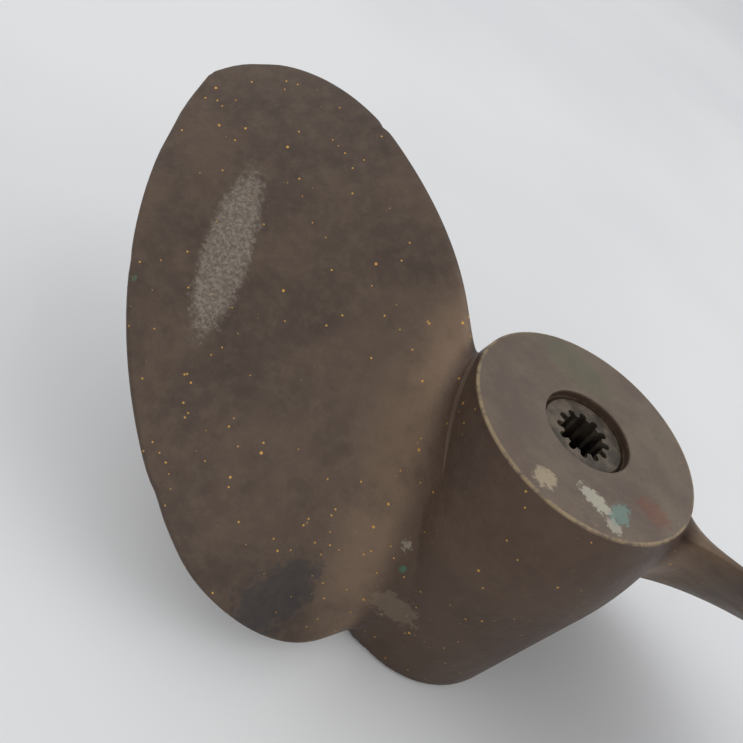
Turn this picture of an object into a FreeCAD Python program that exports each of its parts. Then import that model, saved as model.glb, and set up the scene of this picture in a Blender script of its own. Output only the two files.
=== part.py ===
import FreeCAD, Part
# Two-blade bronze outboard propeller with a rubber-cushioned splined sleeve.
#
# Frame: millimetres, +Z along the shaft axis towards the aft end of the hub, origin at the centre of the
# hub's forward end, on which the propeller stands. The blades are a left-handed helicoid: going down
# the hub the surface turns counter-clockwise, seen from above.
import math
import os

import Sketcher

V = FreeCAD.Vector
doc = FreeCAD.newDocument("propeller")

# ---------------------------------------------------------------- driving dimensions (mm and degrees)
DIMENSIONS = [
    ("hub_length", 100.0),
    ("face_radius", 37.0),
    ("cone_top_radius", 39.4),
    ("cone_top_height", 58.0),
    ("foot_radius", 33.2),
    ("foot_round", 2.6),
    ("blade_count", 2),
    ("blade_tip_radius", 160.6),
    ("blade_lead", 441.7),
    ("blade_start_angle", 181.0),
    ("upper_width", 55.2),
    ("upper_widest", 0.56),
    ("upper_taper", 1.9),
    ("upper_taper_power", 1.9),
    ("upper_tip_power", 2.0),
    ("upper_tip_round", 0.59),
    ("lower_width", 61.5),
    ("lower_widest", 0.49),
    ("lower_taper", 1.94),
    ("lower_taper_power", 1.55),
    ("lower_tip_power", 1.5),
    ("lower_tip_round", 0.82),
    ("blade_root_mid_angle", 222.0),
    ("blade_sweep", 40.0),
    ("blade_edge_half", 1.1),
    ("blade_back_bulge", 12.0),
    ("blade_back_outer", 1.1),
    ("blade_hidden_bulge", 5.0),
    ("blade_hidden_outer", 0.9),
    ("bulge_fade", 30.0),
    ("root_flare", 9.0),
    ("root_flare_fade", 8.0),
    ("blade_plane_angle", 184.0),
    ("web_thickness", 14.0),
    ("recess_radius", 14.4),
    ("recess_depth", 2.4),
    ("cavity_radius", 24.0),
    ("socket_radius", 26.0),
    ("socket_depth", 5.0),
    ("cushion_set_back", 8.0),
    ("cushion_length", 76.0),
    ("cushion_lip", 1.5),
    ("running_gap", 0.05),
    ("sleeve_radius", 13.9),
    ("sleeve_set_back", 6.0),
    ("sleeve_sunk", 0.2),
    ("sleeve_chamfer", 0.9),
    ("spline_count", 12),
    ("spline_root_radius", 6.8),
    ("spline_top_radius", 9.0),
    ("spline_width", 2.3),
    ("pilot_radius", 9.1),
    ("pilot_length", 14.0),
]

sheet = doc.addObject("Spreadsheet::Sheet", "sizes")
for row, (alias, value) in enumerate(DIMENSIONS, start=1):
    sheet.set("A%d" % row, alias)
    sheet.set("B%d" % row, str(value))
    sheet.setAlias("B%d" % row, alias)
doc.recompute()


def size(alias):
    """The number in the sheet's cell."""
    return float(sheet.get(alias))


def origin_plane(body, role):
    """The body's own origin plane with this role."""
    return next(plane for plane in body.Origin.OriginFeatures if plane.Role == role)


def sketch_on(body, role, name):
    """A new sketch on one of the body's own origin planes."""
    sketch = body.newObject("Sketcher::SketchObject", name)
    sketch.AttachmentSupport = (origin_plane(body, role), [""])
    sketch.MapMode = "FlatFace"
    return sketch


def add_path(sketch, points):
    """Closed chain of lines through the points; returns the lines' indices."""
    lines = []
    for start, end in zip(points, points[1:] + points[:1]):
        lines.append(sketch.addGeometry(Part.LineSegment(V(*start, 0), V(*end, 0)), False))
    for line, following in zip(lines, lines[1:] + lines[:1]):
        sketch.addConstraint(Sketcher.Constraint("Coincident", line, 2, following, 1))
    return lines


def place_point(sketch, geometry, end, x_formula, y_formula):
    """Pin one end of a sketch element to sheet formulas in x and y."""
    point = sketch.getPoint(geometry, end)
    for kind, formula, value in (("DistanceX", x_formula, point.x), ("DistanceY", y_formula, point.y)):
        index = sketch.addConstraint(Sketcher.Constraint(kind, -1, 1, geometry, end, value))
        sketch.setExpression("Constraints[%d]" % index, formula)


def revolve(body, sketch, name):
    """Full turn of the sketch about its own vertical axis, the shaft axis."""
    turned = body.newObject("PartDesign::Revolution", name)
    turned.Profile = sketch
    turned.ReferenceAxis = (sketch, ["V_Axis"])
    turned.Angle = 360
    return turned


def edges_where(shape, test):
    """Names of the edges whose midpoint passes the test."""
    names = []
    for index, edge in enumerate(shape.Edges, start=1):
        middle = edge.valueAt(0.5 * (edge.FirstParameter + edge.LastParameter))
        if test(math.hypot(middle.x, middle.y), middle.z):
            names.append("Edge%d" % index)
    return names


# ---------------------------------------------------------------- barrel of the hub
def make_barrel():
    """Solid barrel: a cone that swells into a tangent arc and closes in again at the aft face."""
    body = doc.addObject("PartDesign::Body", "barrel")
    sketch = sketch_on(body, "XZ_Plane", "barrel_profile")
    foot, cone_top, face = size("foot_radius"), size("cone_top_radius"), size("face_radius")
    knee, top = size("cone_top_height"), size("hub_length")
    base = sketch.addGeometry(Part.LineSegment(V(0, 0, 0), V(foot, 0, 0)), False)
    cone = sketch.addGeometry(Part.LineSegment(V(foot, 0, 0), V(cone_top, knee, 0)), False)
    belly = V(1.02 * cone_top, 0.72 * top, 0)
    swell = sketch.addGeometry(Part.Arc(V(cone_top, knee, 0), belly, V(face, top, 0)), False)
    lid = sketch.addGeometry(Part.LineSegment(V(face, top, 0), V(0, top, 0)), False)
    axis = sketch.addGeometry(Part.LineSegment(V(0, top, 0), V(0, 0, 0)), False)
    # the arc runs counter-clockwise, so its first end is the lower one
    joins = ((base, 2, cone, 1), (cone, 2, swell, 1), (swell, 2, lid, 1), (lid, 2, axis, 1), (axis, 2, base, 1))
    for join in joins:
        sketch.addConstraint(Sketcher.Constraint("Coincident", *join))
    place_point(sketch, base, 1, "0 mm", "0 mm")
    place_point(sketch, cone, 1, "sizes.foot_radius", "0 mm")
    place_point(sketch, cone, 2, "sizes.cone_top_radius", "sizes.cone_top_height")
    place_point(sketch, lid, 1, "sizes.face_radius", "sizes.hub_length")
    place_point(sketch, axis, 1, "0 mm", "sizes.hub_length")
    sketch.addConstraint(Sketcher.Constraint("Tangent", cone, swell))
    turned = revolve(body, sketch, "barrel_turned")
    doc.recompute()
    rounding = body.newObject("PartDesign::Fillet", "foot_rounding")
    rounding.Base = (turned, edges_where(turned.Shape, lambda r, z: z < 0.01 and r > 0.9 * foot))
    rounding.setExpression("Radius", "sizes.foot_round")
    doc.recompute()
    return body


# ---------------------------------------------------------------- blades
def mid_angle(reach):
    """Angle of the blade's middle line; reach is 0 at the hub's face radius and 1 at the tip."""
    return size("blade_root_mid_angle") - size("blade_sweep") * reach


def half_angle(radius, side):
    """The blade's width above (side -1) or below its middle line, in degrees about the shaft."""
    hub, tip = size("face_radius"), size("blade_tip_radius")
    edge = "upper_" if side < 0 else "lower_"
    reach, widest = (radius - hub) / (tip - hub), size(edge + "widest")
    if reach < widest:
        share = 1.0 - size(edge + "taper") * (widest - reach) ** size(edge + "taper_power")
    else:
        outward = (reach - widest) / (1.0 - widest)
        share = max(0.0, 1.0 - outward ** size(edge + "tip_power")) ** size(edge + "tip_round")
    return math.degrees(size(edge + "width") * share / radius)


def edge_angle(radius, side):
    """Angle of the upper (side -1) or lower (side +1) edge of the blade at this radius."""
    hub, tip = size("face_radius"), size("blade_tip_radius")
    held = max(radius, hub)
    return mid_angle((held - hub) / (tip - hub)) + side * half_angle(held, side)


def edge_in_plane(distance, side):
    """Angle, from the plane's normal, at which the plane at this distance cuts the blade's edge."""
    spindle = size("blade_plane_angle")
    low, high = distance, size("blade_tip_radius")
    for _ in range(60):
        middle = 0.5 * (low + high)
        reached = middle * math.cos(math.radians(edge_angle(middle, side) - spindle))
        if reached < distance:
            low = middle
        else:
            high = middle
    return edge_angle(low, side) - spindle


def bulge(radius):
    """Thickness added on the blade's upper and lower side at mid width, thick at the root."""
    out = max(radius - size("face_radius"), 0.0)
    fade = math.exp(-out / size("bulge_fade"))
    flare = size("root_flare") * math.exp(-out / size("root_flare_fade"))
    back, hidden = size("blade_back_outer"), size("blade_hidden_outer")
    upper = back + (size("blade_back_bulge") - back) * fade + flare
    lower = hidden + (size("blade_hidden_bulge") - hidden) * fade + flare
    return upper, lower


def blade_section(distance, stations=14):
    """Closed wire of the blade in the plane at this distance from the shaft axis."""
    spindle = size("blade_plane_angle")
    rise = size("blade_lead") / (2 * math.pi)
    first, last = edge_in_plane(distance, -1), edge_in_plane(distance, 1)
    upper_side, lower_side = [], []
    for step in range(stations + 1):
        share = -math.cos(math.pi * step / stations)
        turn = 0.5 * (first + last) + 0.5 * (last - first) * share
        across = distance * math.tan(math.radians(turn))
        slope = distance / math.cos(math.radians(turn)) ** 2
        height = size("hub_length") - rise * math.radians(turn + spindle - size("blade_start_angle"))
        norm = math.hypot(rise, slope)
        upper, lower = bulge(math.hypot(distance, across))
        belly = 1.0 - share * share
        for side, thickness, points in ((1, upper, upper_side), (-1, lower, lower_side)):
            offset = side * (size("blade_edge_half") + thickness * belly)
            points.append(V(distance, across + offset * rise / norm, height + offset * slope / norm))
    top, bottom = Part.BSplineCurve(), Part.BSplineCurve()
    top.interpolate(upper_side)
    bottom.interpolate(lower_side[::-1])
    return Part.Wire([top.toShape(), Part.makeLine(upper_side[-1], lower_side[-1]),
                      bottom.toShape(), Part.makeLine(lower_side[0], upper_side[0])])


def make_blade():
    """One blade as a smooth loft of planar sections, from inside the barrel out to the tip."""
    hub, tip = size("face_radius"), size("blade_tip_radius")
    root_shares = (0.25, 0.5, 0.8, 1.1, 1.4, 1.8)
    span_shares = (0.38, 0.55, 0.72, 0.85, 0.93, 0.975, 0.99)
    distances = [hub * share for share in root_shares]
    distances += [hub + (tip - hub) * share for share in span_shares]
    return Part.makeLoft([blade_section(distance) for distance in distances], True, False)


def add_core(name, radius, bottom, height):
    """Cylinder to cut away, from sheet formulas for its radius, its bottom and its height."""
    core = doc.addObject("Part::Cylinder", name)
    core.setExpression("Radius", radius)
    core.setExpression("Height", height)
    core.setExpression("Placement.Base.z", bottom)
    return core


def make_casting():
    """Barrel and blades in one piece, cored out from the forward end for the cushion."""
    barrel = make_barrel()
    blade_shape = make_blade()
    blades = []
    for number in range(int(size("blade_count"))):
        blade = doc.addObject("Part::Feature", "blade_%d" % (number + 1))
        blade.Shape = blade_shape
        angle = size("blade_plane_angle") + 360.0 * number / size("blade_count")
        turn = FreeCAD.Rotation(V(0, 0, 1), angle)
        blade.Placement = FreeCAD.Placement(V(0, 0, 0), turn)
        blades.append(blade)
    raw = doc.addObject("Part::MultiFuse", "raw_casting")
    raw.Shapes = [barrel] + blades
    raw.Refine = True
    core = doc.addObject("Part::MultiFuse", "casting_core")
    core.Shapes = [add_core(*step) for step in (
        ("forward_socket", "sizes.socket_radius", "0", "sizes.socket_depth"),
        ("cushion_cavity", "sizes.cavity_radius", "0", "sizes.hub_length - sizes.web_thickness"),
        ("web_bore", "sizes.sleeve_radius + sizes.running_gap", "0", "sizes.hub_length"),
        ("aft_recess", "sizes.recess_radius", "sizes.hub_length - sizes.recess_depth", "sizes.recess_depth"))]
    casting = doc.addObject("Part::Cut", "propeller_casting")
    casting.Base = raw
    casting.Tool = core
    doc.recompute()
    return casting


# ---------------------------------------------------------------- rubber cushion
def make_cushion():
    """Thick rubber bush between casting and sleeve, with rounded ends."""
    body = doc.addObject("PartDesign::Body", "rubber_cushion")
    sketch = sketch_on(body, "XY_Plane", "cushion_rings")
    formulas = ("sizes.cavity_radius", "sizes.sleeve_radius + sizes.running_gap")
    starts = (size("cavity_radius"), size("sleeve_radius") + size("running_gap"))
    for formula, radius in zip(formulas, starts):
        ring = sketch.addGeometry(Part.Circle(V(0, 0, 0), V(0, 0, 1), radius), False)
        sketch.addConstraint(Sketcher.Constraint("Coincident", ring, 3, -1, 1))
        index = sketch.addConstraint(Sketcher.Constraint("Radius", ring, radius))
        sketch.setExpression("Constraints[%d]" % index, formula)
    pad = body.newObject("PartDesign::Pad", "cushion_length_pad")
    pad.Profile = sketch
    pad.setExpression("Length", "sizes.cushion_length")
    doc.recompute()
    lips = body.newObject("PartDesign::Fillet", "cushion_lips")
    lips.Base = (pad, edges_where(pad.Shape, lambda r, z: z < 0.01 or z > size("cushion_length") - 0.01))
    lips.setExpression("Radius", "sizes.cushion_lip")
    body.setExpression("Placement.Base.z", "sizes.cushion_set_back")
    doc.recompute()
    return body


# ---------------------------------------------------------------- splined sleeve
def make_sleeve():
    """Steel sleeve: plain pilot bore at the forward end, internal splines over the rest."""
    body = doc.addObject("PartDesign::Body", "splined_sleeve")
    low = size("sleeve_set_back")
    high = size("hub_length") - size("recess_depth") - size("sleeve_sunk")
    outer, root, pilot = size("sleeve_radius"), size("spline_root_radius"), size("pilot_radius")
    step = low + size("pilot_length")
    profile = sketch_on(body, "XZ_Plane", "sleeve_profile")
    corners = [(pilot, low), (outer, low), (outer, high), (root, high), (root, step), (pilot, step)]
    lines = add_path(profile, corners)
    heights = {low: "sizes.sleeve_set_back", step: "sizes.sleeve_set_back + sizes.pilot_length",
               high: "sizes.hub_length - sizes.recess_depth - sizes.sleeve_sunk"}
    widths = {outer: "sizes.sleeve_radius", root: "sizes.spline_root_radius", pilot: "sizes.pilot_radius"}
    for line, (x, y) in zip(lines, corners):
        place_point(profile, line, 1, widths[x], heights[y])
    tube = revolve(body, profile, "sleeve_tube")

    groove = sketch_on(body, "XY_Plane", "spline_groove")
    half, reach = 0.5 * size("spline_width"), size("spline_top_radius")
    centre = reach - half
    sides = [groove.addGeometry(Part.LineSegment(V(0, -half, 0), V(centre, -half, 0)), False),
             groove.addGeometry(Part.ArcOfCircle(Part.Circle(V(centre, 0, 0), V(0, 0, 1), half),
                                                 -math.pi / 2, math.pi / 2), False),
             groove.addGeometry(Part.LineSegment(V(centre, half, 0), V(0, half, 0)), False),
             groove.addGeometry(Part.LineSegment(V(0, half, 0), V(0, -half, 0)), False)]
    for side, following in zip(sides, sides[1:] + sides[:1]):
        groove.addConstraint(Sketcher.Constraint("Coincident", side, 2, following, 1))
    half_formula = "sizes.spline_width / 2"
    centre_formula = "sizes.spline_top_radius - sizes.spline_width / 2"
    place_point(groove, sides[0], 1, "0 mm", "-1 * " + half_formula)
    place_point(groove, sides[0], 2, centre_formula, "-1 * " + half_formula)
    place_point(groove, sides[2], 1, centre_formula, half_formula)
    place_point(groove, sides[2], 2, "0 mm", half_formula)
    index = groove.addConstraint(Sketcher.Constraint("DistanceX", -1, 1, sides[1], 3, centre))
    groove.setExpression("Constraints[%d]" % index, centre_formula)
    cut = body.newObject("PartDesign::Pocket", "spline_cut")
    cut.Profile = groove
    cut.Reversed = True
    cut.setExpression("Length", "sizes.hub_length")
    doc.recompute()
    ring = body.newObject("PartDesign::PolarPattern", "spline_ring")
    ring.Originals = [cut]
    ring.Axis = (groove, ["N_Axis"])
    ring.Angle = 360
    ring.setExpression("Occurrences", "sizes.spline_count")
    body.Tip = ring
    doc.recompute()
    chamfer = body.newObject("PartDesign::Chamfer", "sleeve_end_chamfers")
    rims = edges_where(ring.Shape, lambda r, z: abs(r - outer) < 0.01 and not low + 0.01 < z < high - 0.01)
    chamfer.Base = (ring, rims)
    chamfer.setExpression("Size", "sizes.sleeve_chamfer")
    doc.recompute()
    return body


NODES = {
    "propeller_casting": make_casting(),
    "rubber_cushion": make_cushion(),
    "splined_sleeve": make_sleeve(),
}

doc.recompute()
for item in doc.Objects:
    if "Invalid" in item.State or "Error" in item.State:
        raise RuntimeError("%s failed: %s" % (item.Name, item.State))

os.makedirs("parts", exist_ok=True)
for name, item in NODES.items():
    item.Label = name
    shape = item.Shape
    if shape.isNull() or not shape.isValid():
        raise RuntimeError("%s has no valid shape" % name)
    shape.exportStep("parts/%s.step" % name)
    box = shape.BoundBox
    print("%-18s solids %d volume %9.1f mm3  z %.2f to %.2f  x %.1f to %.1f  y %.1f to %.1f" % (
        name, len(shape.Solids), shape.Volume, box.ZMin, box.ZMax, box.XMin, box.XMax, box.YMin, box.YMax))
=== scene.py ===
import math

import bmesh
import bpy
from mathutils import Matrix, Vector


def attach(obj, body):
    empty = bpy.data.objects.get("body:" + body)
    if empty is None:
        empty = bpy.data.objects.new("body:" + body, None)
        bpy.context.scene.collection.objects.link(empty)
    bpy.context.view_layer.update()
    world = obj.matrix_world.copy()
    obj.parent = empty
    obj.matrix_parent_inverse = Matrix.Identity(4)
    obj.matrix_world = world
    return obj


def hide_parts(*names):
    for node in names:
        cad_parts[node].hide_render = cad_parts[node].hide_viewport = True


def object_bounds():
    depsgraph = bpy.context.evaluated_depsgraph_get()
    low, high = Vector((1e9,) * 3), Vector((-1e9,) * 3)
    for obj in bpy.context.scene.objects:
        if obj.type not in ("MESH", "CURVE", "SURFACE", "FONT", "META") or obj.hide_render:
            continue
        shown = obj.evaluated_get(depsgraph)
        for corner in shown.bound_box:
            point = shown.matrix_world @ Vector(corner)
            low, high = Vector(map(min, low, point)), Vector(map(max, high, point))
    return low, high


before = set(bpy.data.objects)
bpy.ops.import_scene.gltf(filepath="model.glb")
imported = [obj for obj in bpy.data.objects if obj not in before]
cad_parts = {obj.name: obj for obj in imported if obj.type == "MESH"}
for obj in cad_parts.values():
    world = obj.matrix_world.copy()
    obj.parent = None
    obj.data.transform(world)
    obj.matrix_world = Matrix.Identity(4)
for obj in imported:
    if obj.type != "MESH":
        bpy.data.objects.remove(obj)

mm = 0.001
cadLow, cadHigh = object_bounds()

# The camera looks down on the standing propeller from in front and to one side, rolled a little.
view = {
    "location": (0.0, -0.2206, 0.2420),
    "forward": (-0.2104, 0.7488, -0.6286),
    "roll": 36.12,
    "fieldOfView": 45.08,
    "clipStart": 0.01,
}
cameraData = bpy.data.cameras.new("camera")
cameraData.sensor_fit = "AUTO"
cameraData.angle = math.radians(view["fieldOfView"])
cameraData.clip_start = view["clipStart"]
camera = bpy.data.objects.new("camera", cameraData)
bpy.context.scene.collection.objects.link(camera)
aim = Vector(view["forward"]).to_track_quat("-Z", "Y").to_matrix().to_4x4()
camera.matrix_world = (Matrix.Translation(view["location"]) @ aim
                       @ Matrix.Rotation(math.radians(view["roll"]), 4, "Z"))
bpy.context.scene.camera = camera
print("camera placed")


# An sRGB hex colour as the linear RGBA that a shader socket takes.
def linear(code):
    parts = [int(code[i:i + 2], 16) / 255 for i in (0, 2, 4)]
    return tuple(c / 12.92 if c <= 0.04045 else ((c + 0.055) / 1.055) ** 2.4 for c in parts) + (1.0,)


# Adds one shader node. values are set on its input sockets and links join other sockets to them.
def addNode(material, kind, values=None, links=None, **settings):
    made = material.node_tree.nodes.new(kind)
    for name, value in settings.items():
        setattr(made, name, value)
    for socket, value in (values or {}).items():
        made.inputs[socket].default_value = value
    for socket, source in (links or {}).items():
        material.node_tree.links.new(source, made.inputs[socket])
    return made


# An empty material with its shader and the piece's own coordinates.
def newMaterial(name):
    material = bpy.data.materials.new(name)
    material.use_nodes = True
    return (material, material.node_tree.nodes["Principled BSDF"],
            addNode(material, "ShaderNodeTexCoord").outputs["Object"])


# Clouding fixed to the piece, its blotches about size metres across. offset keeps two from lining up.
def clouding(material, place, size, detail, roughness, offset=(0, 0, 0)):
    moved = addNode(material, "ShaderNodeMapping", {"Location": offset}, {"Vector": place})
    return addNode(material, "ShaderNodeTexNoise",
                   {"Scale": 1 / size, "Detail": detail, "Roughness": roughness},
                   {"Vector": moved.outputs[0]}).outputs[0]


# Where all the masks overlap. A mask is a socket, or a number that weakens the others.
def overlap(material, *masks):
    shared = masks[0]
    for mask in masks[1:]:
        both = addNode(material, "ShaderNodeMath", {}, {0: shared}, operation="MULTIPLY")
        if isinstance(mask, (int, float)):
            both.inputs[1].default_value = mask
        else:
            material.node_tree.links.new(mask, both.inputs[1])
        shared = both.outputs[0]
    return shared


# A soft mask, 1 where every limit is met. A limit is a source, where it sets in and where it is full.
def zone(material, *limits):
    steps = []
    for source, setsIn, full in limits:
        atLow, atHigh = (0.0, 1.0) if setsIn < full else (1.0, 0.0)
        step = addNode(material, "ShaderNodeMapRange",
                       {"From Min": min(setsIn, full), "From Max": max(setsIn, full),
                        "To Min": atLow, "To Max": atHigh},
                       {"Value": source}, interpolation_type="SMOOTHSTEP")
        steps.append(step.outputs[0])
    return overlap(material, *steps)


# The colour over laid on under where the masks overlap. Colours are sockets or hex codes.
def coat(material, under, over, *masks):
    mixed = addNode(material, "ShaderNodeMix", {}, {0: overlap(material, *masks)}, data_type="RGBA")
    for socket, colour in ((6, under), (7, over)):
        if isinstance(colour, str):
            mixed.inputs[socket].default_value = linear(colour)
        else:
            material.node_tree.links.new(colour, mixed.inputs[socket])
    return mixed.outputs[2]


# A mask of one frayed patch round centre. halfSize is in mm along its own axes, grain in metres.
def patchMask(material, place, centre, halfSize, fray, grain, turn=(0, 0, 0)):
    local = addNode(material, "ShaderNodeMapping",
                    {"Location": tuple(c * mm for c in centre), "Rotation": turn,
                     "Scale": tuple(s * mm for s in halfSize)}, {"Vector": place}, vector_type="TEXTURE")
    far = addNode(material, "ShaderNodeVectorMath", {}, {0: local.outputs[0]}, operation="LENGTH")
    frayed = addNode(material, "ShaderNodeMath", {1: fray},
                     {0: clouding(material, place, grain, 5.0, 0.7), 2: far.outputs["Value"]},
                     operation="MULTIPLY_ADD")
    return zone(material, (frayed.outputs[0], 1.08 + fray / 2, 0.72 + fray / 2))


# The barrel of the casting, standing on its forward end. Sizes in mm, the angle in degrees.
barrel = {
    "length": 100.0, "footRadius": 33.2, "coneRadius": 39.4, "coneHeight": 58.0, "faceRadius": 37.0,
    "arcCentre": (-89.0, 71.7), "arcRadius": 129.15,  # the wall above the cone, centre as radius and height
    "footRound": 2.6, "footEase": 0.15, "rimRound": 0.7, "faceRing": 26.0,
    "wallStart": 4, "wallStep": 2.0, "wallSteps": 47,
    "recessRadius": 14.4, "recessDepth": 2.4, "recessRound": 0.5,
    "holeRadius": 13.95, "webThickness": 14.0,
    "cavityRadius": 24.0, "socketRadius": 26.0, "socketDepth": 5.0, "socketLip": 0.6,
    "around": 160, "sharpAngle": 38,
}
# A blade: a left-handed helicoid, swept back, thick at the root. Sizes in mm, angles in degrees.
blade = {
    "tipRadius": 160.6, "lead": 441.7, "startAngle": 181.0, "midAngle": 222.0, "sweep": 40.0,
    # The width on each side of its middle line, where it is widest, and how it tapers.
    "edges": {
        -1: {"width": 55.2, "widest": 0.56, "taper": 1.95, "taperPower": 2.0,
             "tipPower": 2.0, "tipRound": 0.59},
        1: {"width": 61.5, "widest": 0.49, "taper": 1.94, "taperPower": 1.55,
            "tipPower": 1.42, "tipRound": 0.74},
    },
    "edgeHalf": 1.1, "edgeRound": 1.7,
    # The bulge of the upper (1) and lower (-1) side: far out, added at the root, and how fast it fades.
    "bulge": {1: (1.1, 10.9), -1: (0.9, 4.1)}, "bulgeFade": 30,
    "unevenness": 0.3, "wavesAcross": (5, 2.7), "wavesOut": (0.11, 0.04),
    "fillet": {1: 21.0, -1: 13.0}, "filletShare": 0.85, "filletPower": 0.45, "filletWidening": 0.13,
    "followFade": 45,  # out to here the rings still follow the barrel's wall
    "endGap": 1.2, "gapHeld": 3, "gapOpening": 1.5,  # keeps the fillet inside the barrel's two ends
    "rootSteps": [-5.0, 0.02, 0.25, 0.7, 1.4, 2.3, 3.4, 4.7, 6.2, 7.8, 9.4,
                  11, 12.7, 14.4, 16.2, 18.1, 20, 22],
    "spanSteps": 58, "spanShare": 0.93, "tipShares": (0.945, 0.958, 0.97, 0.98, 0.988, 0.994, 0.998),
    "farthest": 0.9996, "acrossSteps": 72,
    # Small dents in the outline: which edge, how far out as a share, depth and half length.
    "nicks": [(1, 0.938, 1.1, 1.8), (-1, 0.958, 0.9, 2.2), (1, 0.561, 1.2, 2.0),
              (-1, 0.62, 0.5, 1.6), (1, 0.8, 0.5, 1.2)],
    "nickShift": 0.11,  # the second blade has them this much farther in
    "easing": 4,
}
span = blade["tipRadius"] - barrel["faceRadius"]
risePerRadian = blade["lead"] / math.tau


# The barrel's outer radius at a height, both in mm.
def barrelRadius(height):
    b = barrel
    if height < b["coneHeight"]:
        return b["footRadius"] + (b["coneRadius"] - b["footRadius"]) * height / b["coneHeight"]
    return b["arcCentre"][0] + math.sqrt(b["arcRadius"] ** 2 - (height - b["arcCentre"][1]) ** 2)


# The blade's width in mm on one side of its middle line, at reach from 0 at the barrel to 1 at the tip.
def bladeWidth(reach, edge):
    e = blade["edges"][edge]
    if reach < e["widest"]:
        return e["width"] * (1 - e["taper"] * (e["widest"] - reach) ** e["taperPower"])
    outward = (reach - e["widest"]) / (1 - e["widest"])
    return e["width"] * max(1 - outward ** e["tipPower"], 0.0) ** e["tipRound"]


# How far in mm the outline is dented in at one edge.
def nickDepth(edge, reach, turn):
    total = 0.0
    shift = 0.0 if turn == 0 else blade["nickShift"]
    for dented, at, depth, halfLength in blade["nicks"]:
        if dented == edge:
            away = (reach - at + shift) * span / halfLength
            total += depth * math.exp(-away * away)
    return total


# The extra half thickness in mm that a round fillet gives at a distance away from the barrel.
def filletThickness(away, side):
    f = blade["fillet"][side]
    if away >= f:
        return 0.0
    left = f - max(away, 0.0)
    return f - math.sqrt(max(f * f - left * left, 0.0))


# Half the blade's thickness in mm: rounded edge, bulge, slight unevenness and root fillet.
def halfThickness(radius, across, arc, away, side, turn):
    outer, added = blade["bulge"][side]
    out = max(radius - barrel["faceRadius"], -6)
    bulge = outer + added * math.exp(-out / blade["bulgeFade"])
    (waveOne, waveTwo), (outOne, outTwo) = blade["wavesAcross"], blade["wavesOut"]
    bulge += (blade["unevenness"] * math.sin(radius * outOne + waveOne * across)
              * math.sin(waveTwo * across + radius * outTwo + turn))
    inward = min(1.0, (1 - abs(across)) * arc / (blade["edgeRound"] * blade["edgeHalf"]))
    rounded = math.sqrt(max(1 - (1 - inward) ** 2, 0.0))
    belly = 1 - across * across
    fillet = blade["filletShare"] * filletThickness(away, side) * belly ** blade["filletPower"]
    return blade["edgeHalf"] * rounded + bulge * belly + fillet


# A point of the blade's skin in metres. across runs from -1 to 1, and side is 1 above and -1 below.
def bladePoint(away, across, side, turn):
    length, faceRadius = barrel["length"], barrel["faceRadius"]
    edge = 1 if across > 0 else -1
    follow = max(0.0, 1 - max(away, 0) / blade["followFade"]) ** 2
    height = length / 2
    for repeat in range(4):  # the radius depends on the height and the height on the radius
        wall = barrelRadius(min(max(height, 0), length))
        radius = faceRadius + away + (wall - faceRadius) * follow
        reach = min((radius - faceRadius) / span, blade["farthest"])
        arc = bladeWidth(max(reach, 0.0), edge) - nickDepth(edge, reach, turn) * abs(across) ** 6
        arc += blade["filletWidening"] * filletThickness(away, -1)
        middle = math.radians(blade["midAngle"] - blade["sweep"] * reach)
        angle = middle + across * arc / radius
        height = length - risePerRadian * (angle - math.radians(blade["startAngle"]))
    thick = side * halfThickness(radius, across, arc, away, side, turn)
    tilt = math.atan2(risePerRadian, radius)
    turned = angle + math.sin(tilt) * thick / radius + turn
    height += math.cos(tilt) * thick
    ceiling = length - blade["endGap"] + blade["gapOpening"] * max(away - blade["gapHeld"], 0.0)
    height = min(max(height, blade["endGap"]), ceiling)
    return radius * math.cos(turned) * mm, radius * math.sin(turned) * mm, height * mm


# A closed loop round the blade: across its upper side and back along its lower side.
def bladeRing(away, turn):
    count = blade["acrossSteps"]
    shares = [math.cos(math.pi * step / count) for step in range(count)]
    return ([bladePoint(away, -share, 1, turn) for share in shares]
            + [bladePoint(away, share, -1, turn) for share in shares])


# Faces between loops of the same number of points, and a cap on the first and last.
def addLoops(shape, loops, closeEnds=True):
    rows = [[shape.verts.new(point) for point in loop] for loop in loops]
    many = len(loops[0])
    for low, high in zip(rows, rows[1:]):
        for i in range(many):
            shape.faces.new((low[i], low[(i + 1) % many], high[(i + 1) % many], high[i]))
    if closeEnds:
        for row in (rows[0], rows[-1]):
            middle = shape.verts.new(sum((v.co for v in row), Vector()) / many)
            for i in range(many):
                shape.faces.new((row[i], row[(i + 1) % many], middle))


# A mesh object made from a bmesh, with its faces turned outward.
def newObject(name, shape):
    bmesh.ops.recalc_face_normals(shape, faces=shape.faces[:])
    mesh = bpy.data.meshes.new(name)
    shape.to_mesh(mesh)
    shape.free()
    made = bpy.data.objects.new(name, mesh)
    bpy.context.scene.collection.objects.link(made)
    return made


# Points of a circular arc in the (radius, height) plane, angles in degrees.
def arcPoints(centre, radius, first, last, steps):
    return [(centre[0] + radius * math.cos(math.radians(first + (last - first) * i / steps)),
             centre[1] + radius * math.sin(math.radians(first + (last - first) * i / steps)))
            for i in range(steps + 1)]


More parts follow.
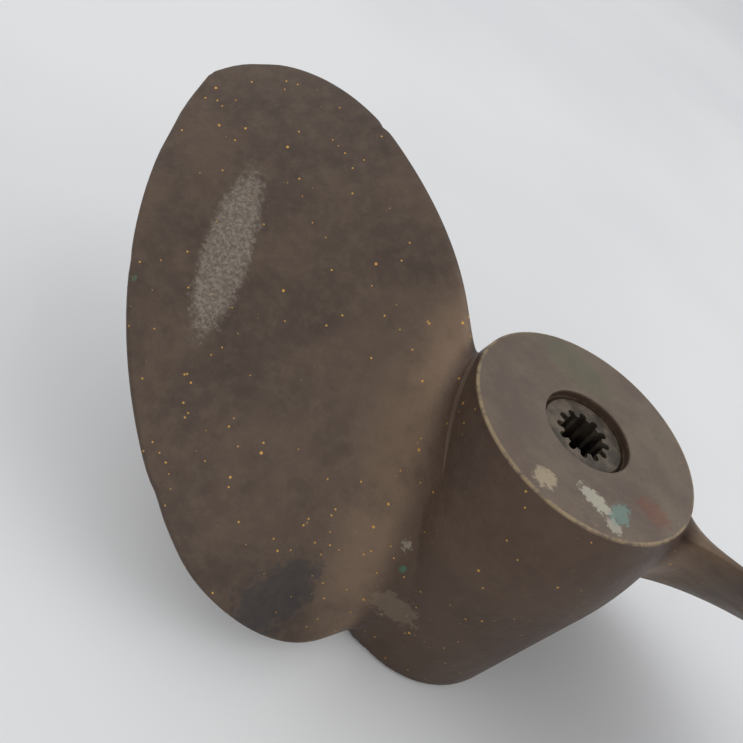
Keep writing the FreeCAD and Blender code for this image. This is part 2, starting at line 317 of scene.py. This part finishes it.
# The closed (radius, height) outline in mm that is turned into the barrel.
def barrelOutline():
    b = barrel
    foot, rim, lip, length = b["footRound"], b["rimRound"], b["recessRound"], b["length"]
    outline = [(b["socketRadius"], 0.0), (b["socketRadius"] + b["socketLip"], 0.0)]
    outline += arcPoints((b["footRadius"] - foot + b["footEase"], foot), foot, -90, -6, 8)
    heights = [b["wallStart"] + i * b["wallStep"] for i in range(b["wallSteps"])]
    outline += [(barrelRadius(height), height) for height in heights]
    outline += arcPoints((barrelRadius(length - rim) - rim, length - rim), rim, -8, 90, 6)
    outline += [(b["faceRing"], length), (b["recessRadius"] + lip, length)]
    outline += arcPoints((b["recessRadius"] + lip, length - lip), lip, 90, 180, 4)
    floor, web = length - b["recessDepth"], length - b["webThickness"]
    outline += [(b["recessRadius"], floor), (b["holeRadius"], floor)]
    outline += [(b["holeRadius"], web), (b["cavityRadius"], web)]
    outline += [(b["cavityRadius"], b["socketDepth"]), (b["socketRadius"], b["socketDepth"])]
    return outline


# Value bent smoothly past start so that it never passes most.
def easedIn(value, start, most):
    if value <= start:
        return value
    room = most - start
    return start + room * math.tanh((value - start) / room)


# The turned barrel as a closed skin.
def buildBarrel():
    turns = [math.tau * i / barrel["around"] for i in range(barrel["around"])]
    loops = [[(r * mm * math.cos(a), r * mm * math.sin(a), z * mm) for a in turns]
             for r, z in barrelOutline()]
    shape = bmesh.new()
    addLoops(shape, loops + loops[:1], closeEnds=False)
    bmesh.ops.remove_doubles(shape, verts=shape.verts[:], dist=1e-6)
    return newObject("propeller_body", shape)


# Joins a blade to the piece, turned about the shaft by turn.
def joinBlade(piece, turn):
    steps = list(blade["rootSteps"])
    start, end, count = steps[-1], span * blade["spanShare"], blade["spanSteps"]
    steps += [start + (end - start) * i / count for i in range(1, count + 1)]
    steps += [span * share for share in blade["tipShares"]]
    shape = bmesh.new()
    addLoops(shape, [bladeRing(away, turn) for away in steps])
    added = newObject("blade", shape)
    join = piece.modifiers.new("join", "BOOLEAN")
    join.operation, join.solver, join.object = "UNION", "EXACT", added
    evaluated = piece.evaluated_get(bpy.context.evaluated_depsgraph_get())
    whole = bpy.data.meshes.new_from_object(evaluated)
    piece.modifiers.clear()
    piece.data = whole
    bpy.data.objects.remove(added)


# The barrel and its two blades as one closed skin, kept inside the box that the CAD part fills.
def buildCasting():
    piece = buildBarrel()
    for turn in (0.0, math.pi):
        joinBlade(piece, turn)
    shape = bmesh.new()
    shape.from_mesh(piece.data)
    bmesh.ops.remove_doubles(shape, verts=shape.verts[:], dist=2e-5)
    bmesh.ops.dissolve_degenerate(shape, edges=shape.edges[:], dist=2e-6)
    low, high = [Vector(corner) for corner in (cadLow, cadHigh)]
    for vert in shape.verts:
        vert.co.y = math.copysign(easedIn(abs(vert.co.y), high.y - blade["easing"] * mm, high.y), vert.co.y)
        vert.co = Vector(min(max(v, a), b) for v, a, b in zip(vert.co, low, high))
    bmesh.ops.recalc_face_normals(shape, faces=shape.faces[:])
    openEdges = sum(1 for edge in shape.edges if len(edge.link_faces) != 2)
    print("casting faces", len(shape.faces), "open edges", openEdges)
    shape.to_mesh(piece.data)
    shape.free()
    for face in piece.data.polygons:
        face.use_smooth = True
    piece.data.set_sharp_from_angle(angle=math.radians(barrel["sharpAngle"]))
    return piece


# Old sand-cast bronze: to the eye a half-dull brown metal, lumpy, pecked bright, greyer where turned.
def bronzeMaterial():
    material, shader, place = newMaterial("patinated cast bronze")
    height = addNode(material, "ShaderNodeSeparateXYZ", {}, {0: place}).outputs["Z"]
    flat = addNode(material, "ShaderNodeVectorMath", {1: (1.0, 1.0, 0.0)}, {0: place}, operation="MULTIPLY")
    reach = addNode(material, "ShaderNodeVectorMath", {}, {0: flat.outputs[0]}, operation="LENGTH")
    reach = reach.outputs["Value"]
    # Broad and fine clouding of the brown patina.
    cloud = zone(material, (clouding(material, place, 0.030, 5.0, 0.62), 0.36, 0.66))
    colour = coat(material, "483a31", "57473b", cloud)
    mottle = zone(material, (clouding(material, place, 0.0045, 6.0, 0.7, (0.3, 0.1, 0)), 0.40, 0.68))
    colour = coat(material, colour, "655646", mottle, 0.40)
    dark = zone(material, (clouding(material, place, 0.010, 6.0, 0.65, (0.7, 0.2, 0.4)), 0.56, 0.74))
    colour = coat(material, colour, "382e27", dark, 0.35)
    # The barrel is a little darker, and a lighter, warmer painted highlight lies along the blades' roots.
    onBarrel = zone(material, (reach, 0.0450, 0.0395))
    colour = coat(material, colour, "4a3629", onBarrel, 0.55)
    rootHighlight = zone(material, (reach, 0.0392, 0.0440), (reach, 0.064, 0.0445))
    highlightCloud = zone(material, (clouding(material, place, 0.012, 4.0, 0.6, (0.1, 0.9, 0)), 0.10, 0.62))
    colour = coat(material, colour, "88705a", rootHighlight, highlightCloud, 0.60)
    # The turned end face is lighter and greyer.
    onFace = zone(material, (height, 0.0988, 0.0997), (reach, 0.0376, 0.0368))
    faceCloud = zone(material, (clouding(material, place, 0.016, 5.0, 0.65, (0.2, 0.5, 0)), 0.35, 0.68))
    faceColour = coat(material, "63544a", "706253", faceCloud)
    smudge = zone(material, (clouding(material, place, 0.007, 5.0, 0.7, (0.9, 0.5, 0)), 0.55, 0.72))
    faceColour = coat(material, faceColour, "565442", smudge, 0.5)
    colour = coat(material, colour, faceColour, onFace)
    # Bright pecks of bare brass where sand and stones have struck.
    pecks = None
    for size, shown, offset in ((0.0030, 0.085, 0.0), (0.0060, 0.062, 0.37)):
        moved = addNode(material, "ShaderNodeMapping", {"Location": (offset, offset, offset)},
                        {"Vector": place})
        cells = addNode(material, "ShaderNodeTexVoronoi", {"Scale": 1 / size, "Randomness": 1.0},
                        {"Vector": moved.outputs[0]})
        tint = addNode(material, "ShaderNodeSeparateColor", {}, {0: cells.outputs["Color"]})
        peck = zone(material, (cells.outputs["Distance"], shown + 0.03, shown), (tint.outputs[0], 0.62, 0.63))
        if pecks:
            both = addNode(material, "ShaderNodeMath", {}, {0: pecks, 1: peck}, operation="MAXIMUM")
            pecks = both.outputs[0]
        else:
            pecks = peck
    fewer = addNode(material, "ShaderNodeMapRange", {"To Min": 1.0, "To Max": 0.15}, {"Value": onFace},
                    interpolation_type="SMOOTHSTEP")
    pecks = overlap(material, pecks, fewer.outputs[0])
    colour = coat(material, colour, "c79a55", pecks)
    # A long ground patch on one blade, where metal was taken off to balance it.
    along = Vector((0.546, -0.678, -0.496)).normalized()
    wide = along.cross(Vector((0.0, 0.35, 1.0))).normalized()
    frameTurn = Matrix((along, wide, along.cross(wide))).transposed().to_euler()
    ground = patchMask(material, place, (-109.0, -36.5, 79.0), (29.0, 7.5, 9.0), 0.9, 0.0016, frameTurn)
    grain = zone(material, (clouding(material, place, 0.0011, 3.0, 0.8, (0.5, 0.5, 0)), 0.38, 0.66))
    groundColour = coat(material, "6d6257", "9b9082", grain)
    colour = coat(material, colour, groundColour, ground, 0.70)
    # Stains: the centre and half sizes in mm, the colour and how strongly it covers.
    stains = {
        "blueBlack": ((-28.0, -60.0, 22.0), (8.0, 24.0, 14.0), "2e3136", 0.50),
        "blueBlackRoot": ((-25.0, -36.0, 26.0), (4.5, 8.0, 17.0), "262b33", 0.70),
        "creamBarrel": ((-2.0, -37.7, 30.0), (9.0, 6.0, 7.0), "84735f", 0.40),
        "creamFace": ((1.0, -30.8, 100.0), (3.6, 3.6, 3.0), "a4957c", 0.8),
        "whiteFace": ((14.0, -21.8, 100.0), (5.6, 2.8, 3.0), "aaa594", 0.85),
        "whiteRim": ((22.2, -24.1, 100.0), (2.6, 2.4, 3.0), "a8a294", 0.7),
        "verdigris": ((21.4, -18.4, 100.0), (3.2, 4.6, 3.0), "6e8f85", 0.6),
        "redStain": ((27.6, -6.5, 100.0), (6.0, 4.0, 3.0), "74402c", 0.42),
        "paleStreak": ((-12.2, -36.4, 53.2), (2.2, 3.0, 3.4), "9a907c", 0.6),
        "greenDrop": ((-8.2, -37.6, 45.8), (1.2, 2.4, 1.7), "3d6b52", 0.8),
        "edgeGreen": ((-117.4, -60.4, 67.8), (1.3, 1.6, 1.6), "4f7a5c", 0.85),
        "rootNick": ((-36.0, -26.0, 62.0), (1.1, 1.6, 4.0), "171310", 0.9),
        "faceOlive": ((-16.0, 20.0, 100.0), (15.0, 8.0, 2.0), "5f5f49", 0.5),
    }
    for centre, halfSize, tint, strength in stains.values():
        patch = patchMask(material, place, centre, halfSize, 2.4, 0.5 * mm * min(halfSize))
        colour = coat(material, colour, tint, patch, strength)
    # A painted highlight runs round the rim of the end face in a thin broken line.
    rimHighlight = zone(material, (reach, 0.0361, 0.0366), (reach, 0.0374, 0.0371), (height, 0.0991, 0.0995))
    highlightBreaks = zone(material, (clouding(material, place, 0.005, 5.0, 0.7, (0.8, 0.3, 0)), 0.38, 0.56))
    colour = coat(material, colour, "9c8766", rimHighlight, highlightBreaks, 0.7)
    # Sharp edges are worn lighter, and painted shade darkens the hollows and corners.
    pointed = addNode(material, "ShaderNodeNewGeometry").outputs["Pointiness"]
    worn = zone(material, (pointed, 0.53, 0.62),
                (clouding(material, place, 0.003, 4.0, 0.7, (0.4, 0.4, 0)), 0.40, 0.62))
    colour = coat(material, colour, "9c8a72", worn, 0.7)
    # Painted shade, darker where the surface is hollow.
    hollowShade = zone(material, (pointed, 0.485, 0.40))
    colour = coat(material, colour, "2c2521", hollowShade, 0.2)
    # Cast skin: lumps about 6 mm and pits about 1 mm across, grinding marks, and turned rings on the face.
    lumps = clouding(material, place, 0.006, 5.0, 0.6, (0.2, 0.8, 0))
    pits = clouding(material, place, 0.0012, 3.0, 0.7, (0.6, 0.1, 0))
    relief = addNode(material, "ShaderNodeMath", {1: 0.35}, {0: pits, 2: lumps}, operation="MULTIPLY_ADD")
    bump = addNode(material, "ShaderNodeBump", {"Strength": 0.55, "Distance": 0.0007},
                   {"Height": relief.outputs[0]})
    raised = addNode(material, "ShaderNodeBump", {"Strength": 0.6, "Distance": 0.0003},
                     {"Height": overlap(material, ground, grain), "Normal": bump.outputs[0]})
    rings = addNode(material, "ShaderNodeMath", {1: 900.0}, {0: reach}, operation="MULTIPLY")
    turned = addNode(material, "ShaderNodeTexNoise", {"Scale": 1.0, "Detail": 2.0},
                     {"W": rings.outputs[0]}, noise_dimensions="1D")
    turning = addNode(material, "ShaderNodeBump", {"Strength": 0.35, "Distance": 0.00012},
                      {"Height": overlap(material, turned.outputs[0], onFace), "Normal": raised.outputs[0]})
    material.node_tree.links.new(turning.outputs[0], shader.inputs["Normal"])
    material.node_tree.links.new(colour, shader.inputs["Base Color"])
    shine = addNode(material, "ShaderNodeMapRange", {"To Min": 0.40, "To Max": 0.62},
                    {"Value": clouding(material, place, 0.008, 5.0, 0.6, (0.5, 0.3, 0))})
    material.node_tree.links.new(shine.outputs[0], shader.inputs["Roughness"])
    metal = addNode(material, "ShaderNodeMapRange", {"To Min": 0.45, "To Max": 1.0}, {"Value": pecks})
    material.node_tree.links.new(metal.outputs[0], shader.inputs["Metallic"])
    return material


# Machined, oiled steel of the sleeve: a dull grey-brown metal, flecked, with painted shade that goes dark
# down the bore.
def steelMaterial():
    material, shader, place = newMaterial("oiled sleeve steel")
    cloud = zone(material, (clouding(material, place, 0.005, 5.0, 0.6), 0.36, 0.66))
    colour = coat(material, "453d35", "6a5f52", cloud)
    fleck = zone(material, (clouding(material, place, 0.0012, 4.0, 0.7, (0.3, 0, 0)), 0.60, 0.70))
    colour = coat(material, colour, "837a6c", fleck, 0.6)
    height = addNode(material, "ShaderNodeSeparateXYZ", {}, {0: place}).outputs["Z"]
    # Painted shade, darker the deeper down the bore.
    boreShade = zone(material, (height, 0.0965, 0.085))
    colour = coat(material, colour, "1d1916", boreShade, 0.75)
    material.node_tree.links.new(colour, shader.inputs["Base Color"])
    shader.inputs["Metallic"].default_value = 0.6
    shader.inputs["Roughness"].default_value = 0.5
    bump = addNode(material, "ShaderNodeBump", {"Strength": 0.4, "Distance": 0.0002},
                   {"Height": clouding(material, place, 0.0015, 4.0, 0.7)})
    material.node_tree.links.new(bump.outputs[0], shader.inputs["Normal"])
    return material


# Moulded rubber of the bonded cushion: matt black, greyed with dust.
def rubberMaterial():
    material, shader, place = newMaterial("black cushion rubber")
    dust = zone(material, (clouding(material, place, 0.006, 5.0, 0.65), 0.45, 0.75))
    colour = coat(material, "171615", "3a3733", dust, 0.5)
    material.node_tree.links.new(colour, shader.inputs["Base Color"])
    shader.inputs["Roughness"].default_value = 0.82
    bump = addNode(material, "ShaderNodeBump", {"Strength": 0.3, "Distance": 0.0002},
                   {"Height": clouding(material, place, 0.0012, 3.0, 0.6)})
    material.node_tree.links.new(bump.outputs[0], shader.inputs["Normal"])
    return material


# The paper sheet under the propeller: nearly white, matt, slightly uneven in tone.
def paperMaterial():
    material, shader, place = newMaterial("matt white sheet")
    tone = zone(material, (clouding(material, place, 0.35, 3.0, 0.5), 0.3, 0.7))
    colour = coat(material, "dcdcdd", "e4e4e3", tone)
    material.node_tree.links.new(colour, shader.inputs["Base Color"])
    shader.inputs["Roughness"].default_value = 0.95
    shader.inputs["Specular IOR Level"].default_value = 0.1
    return material


# One material for every face of a piece.
def paint(thing, material):
    if thing.material_slots:
        for slot in thing.material_slots:
            slot.material = material
    else:
        thing.data.materials.append(material)


bronze = bronzeMaterial()
body = buildCasting()
paint(body, bronze)
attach(body, "propeller")
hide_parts("propeller_casting")
print("casting built")

paint(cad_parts["propeller_casting"], bronze)
paint(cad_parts["splined_sleeve"], steelMaterial())
paint(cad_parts["rubber_cushion"], rubberMaterial())
print("sleeve and cushion given their materials")

# A wide flat floor, a hair below the propeller's foot. Sizes in metres.
floorHalf, floorHeight = 3, -0.0001
floorShape = bmesh.new()
corners = [(-1, -1), (1, -1), (1, 1), (-1, 1)]
floorShape.faces.new([floorShape.verts.new((x * floorHalf, y * floorHalf, 0)) for x, y in corners])
floor = newObject("floor", floorShape)
floor.location.z = floorHeight
paint(floor, paperMaterial())

# Soft light from a pale room, with broad panels overhead, in front and to the left.
lights = {
    "key": {"place": (0.7, 0.5, 1.3), "size": 1.7, "power": 8.0, "aim": (0, 0, 0.05)},
    "left": {"place": (-1.2, 0.1, 1.0), "size": 1.4, "power": 4.5, "aim": (-0.15, -0.05, 0.03)},
    "front": {"place": (0.7, -1.2, 0.9), "size": 1.5, "power": 4.0, "aim": (0, 0, 0.05)},
}
for name, spec in lights.items():
    data = bpy.data.lights.new(name, "AREA")
    data.size, data.energy = spec["size"], spec["power"]
    lamp = bpy.data.objects.new(name, data)
    bpy.context.scene.collection.objects.link(lamp)
    toward = Vector(spec["aim"]) - Vector(spec["place"])
    lamp.matrix_world = (Matrix.Translation(spec["place"])
                         @ toward.to_track_quat("-Z", "Y").to_matrix().to_4x4())
world = bpy.data.worlds.new("room")
world.use_nodes = True
world.node_tree.nodes["Background"].inputs["Color"].default_value = (0.95, 0.97, 1.0, 1.0)
world.node_tree.nodes["Background"].inputs["Strength"].default_value = 0.64
bpy.context.scene.world = world
bpy.context.scene.view_settings.view_transform = "Standard"
print("floor and lights set")
